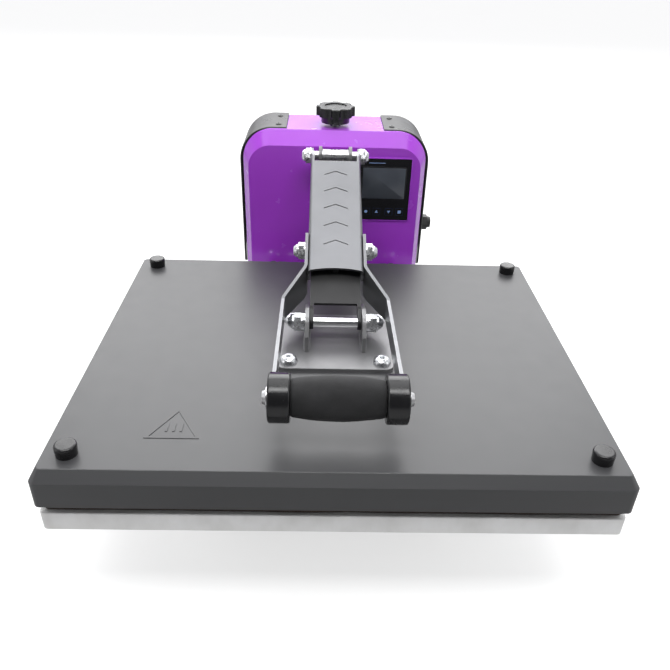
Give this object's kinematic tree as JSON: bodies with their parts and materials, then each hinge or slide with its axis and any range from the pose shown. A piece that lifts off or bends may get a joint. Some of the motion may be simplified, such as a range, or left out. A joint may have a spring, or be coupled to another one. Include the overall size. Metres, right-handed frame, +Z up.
{
  "type": "heat press",
  "caption": "Clamshell heat press with a hinged heated platen, a toggle lever with a foam grip, and a rear tower with a touch panel and pressure knob.",
  "frame": {"origin": "centre of the bounding box at the height of the feet's soles", "axes": "+X to the operator's right, +Y away from the operator, +Z up"},
  "size_m": [0.51, 0.585, 0.35],
  "materials": {
    "frame_black": "black textured powder coat",
    "tower_black": "satin black paint",
    "cast_grey": "painted casting",
    "foot_rubber": "matt",
    "platen_aluminium": "milled edge",
    "heat_plate": "coated",
    "silicone": "brown silicone sponge",
    "bright_steel": "bright",
    "zinc": "bright zinc plate",
    "cap_screw_black": "black oxide",
    "housing_purple": "glossy purple paint",
    "housing_black": "glossy",
    "back_grey": "fine textured paint",
    "display_glass": "black glass with grey graphics",
    "board_green": "circuit board",
    "socket_black": "nylon",
    "rocker_red": "moulded",
    "knob_black": "moulded",
    "cover_paint": "grey satin powder coat",
    "bracket_grey": "silver paint",
    "element_steel": "oxidised sheath",
    "blanket": "mineral wool felt",
    "lever_silver": "silver metallic paint",
    "link_black": "satin black paint",
    "polished_bar": "polished",
    "grip_foam": "closed-cell foam"
  },
  "bodies": {
    "base": {"base_rail_left": "frame_black", "base_rail_right": "frame_black", "base_cross_front": "frame_black", "base_cross_middle": "frame_black", "base_cross_rear": "frame_black", "rubber_feet": "foot_rubber", "platen_pedestal": "cast_grey", "lower_platen": "platen_aluminium", "silicone_pad": "silicone", "tower_plate_left": "tower_black", "tower_plate_right": "tower_black", "tower_feet": "frame_black", "tower_bridge": "tower_black", "clevis_ear_left": "bracket_grey", "clevis_ear_right": "bracket_grey", "pivot_shaft": "bright_steel", "shaft_collars": "bright_steel", "housing_front": "housing_purple", "housing_cap_left": "housing_black", "housing_cap_right": "housing_black", "housing_back": "back_grey", "back_screws": "zinc", "cap_screws": "cap_screw_black", "display_panel": "display_glass", "control_board": "board_green", "mains_inlet": "socket_black", "switch_frame": "socket_black", "cable_gland": "socket_black", "guide_rods": "bright_steel"},
    "head": {"heat_platen": "heat_plate", "heating_element": "element_steel", "insulation_blanket": "blanket", "platen_cover": "cover_paint", "spacer_posts": "bracket_grey", "cover_knobs": "knob_black", "bracket_plate": "bracket_grey", "bracket_ear_left": "bracket_grey", "bracket_ear_right": "bracket_grey", "bracket_screws": "zinc", "ear_bolts": "bright_steel", "ear_washers": "zinc", "ear_nuts": "zinc", "hinge_arm_left": "tower_black", "hinge_arm_right": "tower_black"},
    "lever": {"lever_channel": "lever_silver", "lever_arm_left": "lever_silver", "lever_arm_right": "lever_silver", "lever_cross_plate": "link_black", "lever_pins": "bright_steel", "lever_washers": "zinc", "lever_nuts": "zinc", "grip_ends": "knob_black", "grip_sleeve": "grip_foam", "grip_rod": "bright_steel"},
    "link": {"toggle_link": "link_black", "link_pin": "polished_bar"},
    "knob": {"pressure_knob": "knob_black", "pressure_screw": "bright_steel"},
    "block": {"pressure_block": "bright_steel"},
    "rocker": {"switch_rocker": "rocker_red"}
  },
  "joints": [
    {"name": "head_hinge", "type": "hinge", "parent": "base", "child": "head", "pos_m": [0, 0.162, 0.138], "axis": [-1, 0, 0], "range_deg": [0, 50]},
    {"name": "lever_pivot", "type": "hinge", "parent": "base", "child": "lever", "pos_m": [0, 0.157, 0.3024], "axis": [-1, 0, 0], "range_deg": [0, 91.3]},
    {"name": "link_pivot", "type": "hinge", "parent": "lever", "child": "link", "pos_m": [0, 0.009, 0.2367], "axis": [-1, 0, 0], "range_deg": [-130.37, 0]},
    {"name": "knob_turn", "type": "hinge", "parent": "base", "child": "knob", "pos_m": [0, 0.2245, 0.335], "axis": [0, 0, 1], "range_deg": [-1441, 1441]},
    {"name": "block_slide", "type": "slide", "parent": "base", "child": "block", "axis": [0, 0, 1], "range_m": [-0.006, 0.006]},
    {"name": "switch_tilt", "type": "hinge", "parent": "base", "child": "rocker", "pos_m": [-0.06, 0.28, 0.202], "axis": [0, 0, 1], "range_deg": [-12, 0]}
  ],
  "couplings": [
    {"joint": "lever_pivot", "follows": "head_hinge", "ratio": 1.8259},
    {"joint": "link_pivot", "follows": "head_hinge", "ratio": -2.6072},
    {"joint": "knob_turn", "follows": "block_slide", "rad_per_m": 4188.8}
  ]
}
